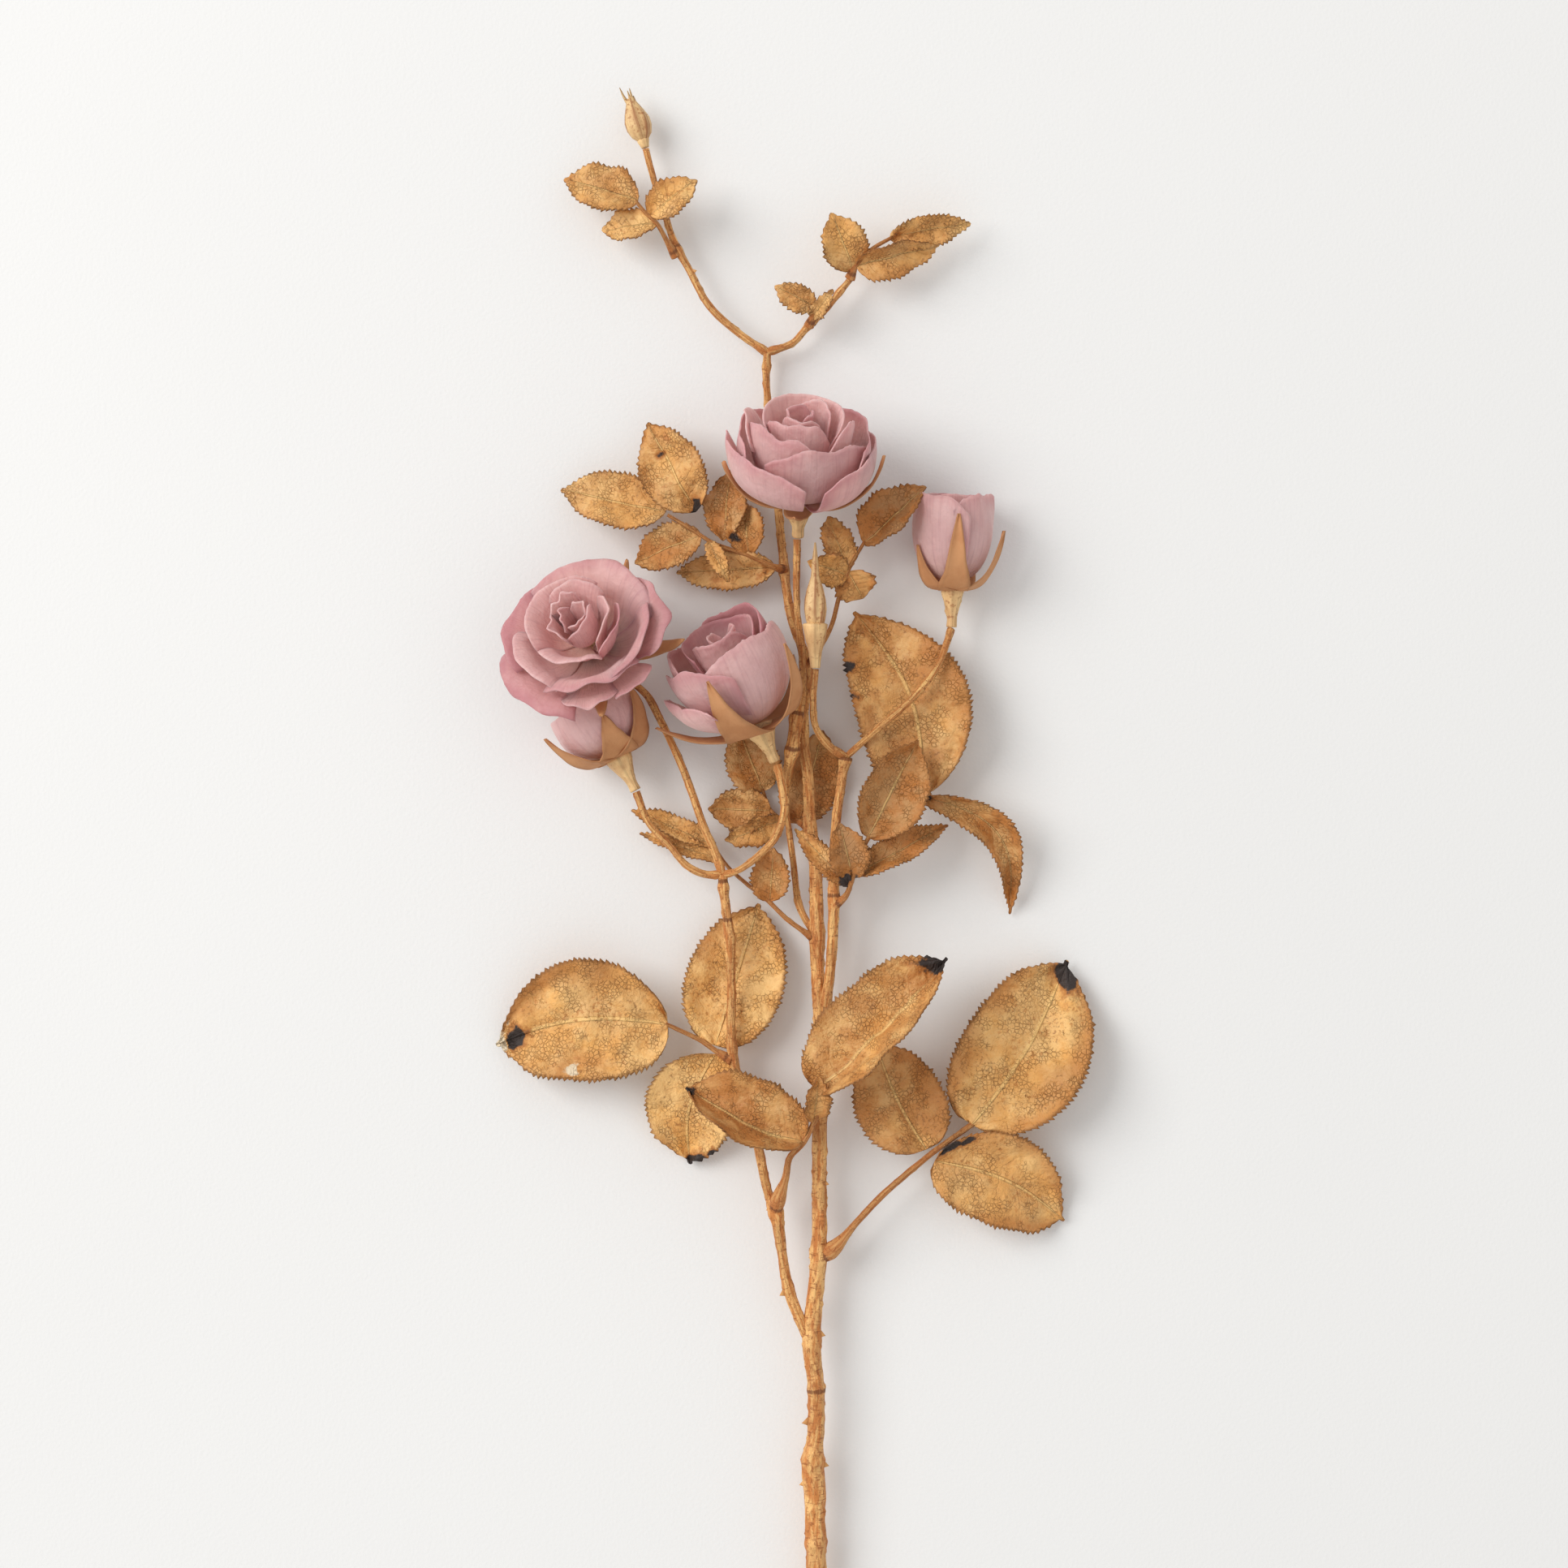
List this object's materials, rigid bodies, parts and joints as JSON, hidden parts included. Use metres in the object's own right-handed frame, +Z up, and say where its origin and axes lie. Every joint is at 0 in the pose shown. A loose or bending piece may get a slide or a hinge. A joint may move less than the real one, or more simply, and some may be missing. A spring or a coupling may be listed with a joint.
{
  "type": "cut spray rose",
  "caption": "Dried cut spray rose lying flat, with dusty pink blooms, opening and closed buds, and curled tan compound leaves on a branching stem.",
  "frame": {"origin": "middle of the footprint, on the surface that the spray lies on", "axes": "+Y along the stem from its cut end towards the blooms, +Z up away from the surface, +X to the right when looking down on it"},
  "size_m": [0.186, 0.562, 0.049],
  "materials": {
    "bark": "dry bark, matt",
    "leaf": "dried leaf, matt",
    "petal": "soft petal, matt",
    "calyx": "smooth, satin",
    "green_bud": "smooth, satin"
  },
  "bodies": {
    "root": {"behind_leaf": "leaf", "bud_twig": "bark", "centre_rose_calyx": "calyx", "centre_rose_heart": "petal", "centre_rose_petal_1": "petal", "centre_rose_petal_2": "petal", "centre_rose_petal_3": "petal", "centre_rose_petal_4": "petal", "centre_rose_petal_5": "petal", "centre_rose_stalk": "bark", "closed_bud": "green_bud", "closed_bud_stalk": "bark", "leafy_twig": "bark", "left_bud_calyx": "calyx", "left_bud_heart": "petal", "left_bud_petal_1": "petal", "left_bud_stalk": "bark", "left_side_stem": "bark", "lower_left_leaf": "leaf", "lower_middle_leaf": "leaf", "lower_right_leaf": "leaf", "main_stem": "bark", "middle_left_leaf": "leaf", "open_rose_calyx": "calyx", "open_rose_heart": "petal", "open_rose_petal_1": "petal", "open_rose_petal_10": "petal", "open_rose_petal_2": "petal", "open_rose_petal_3": "petal", "open_rose_petal_4": "petal", "open_rose_petal_5": "petal", "open_rose_petal_6": "petal", "open_rose_petal_7": "petal", "open_rose_petal_8": "petal", "open_rose_petal_9": "petal", "open_rose_stalk": "bark", "right_bud_calyx": "calyx", "right_bud_heart": "petal", "right_bud_petal_1": "petal", "right_bud_petal_2": "petal", "right_bud_stalk": "bark", "right_leaf": "leaf", "right_side_stem": "bark", "top_left_leaf": "leaf", "top_right_leaf": "leaf", "top_rose_calyx": "calyx", "top_rose_heart": "petal", "top_rose_petal_1": "petal", "top_rose_petal_2": "petal", "top_rose_petal_3": "petal", "top_rose_petal_4": "petal", "top_rose_petal_5": "petal", "top_rose_petal_6": "petal", "top_rose_petal_7": "petal", "top_rose_petal_8": "petal", "top_rose_stalk": "bark", "twig_bud": "green_bud", "twig_leaf": "leaf", "upper_left_leaf": "leaf", "upper_right_leaf": "leaf"}
  },
  "joints": []
}
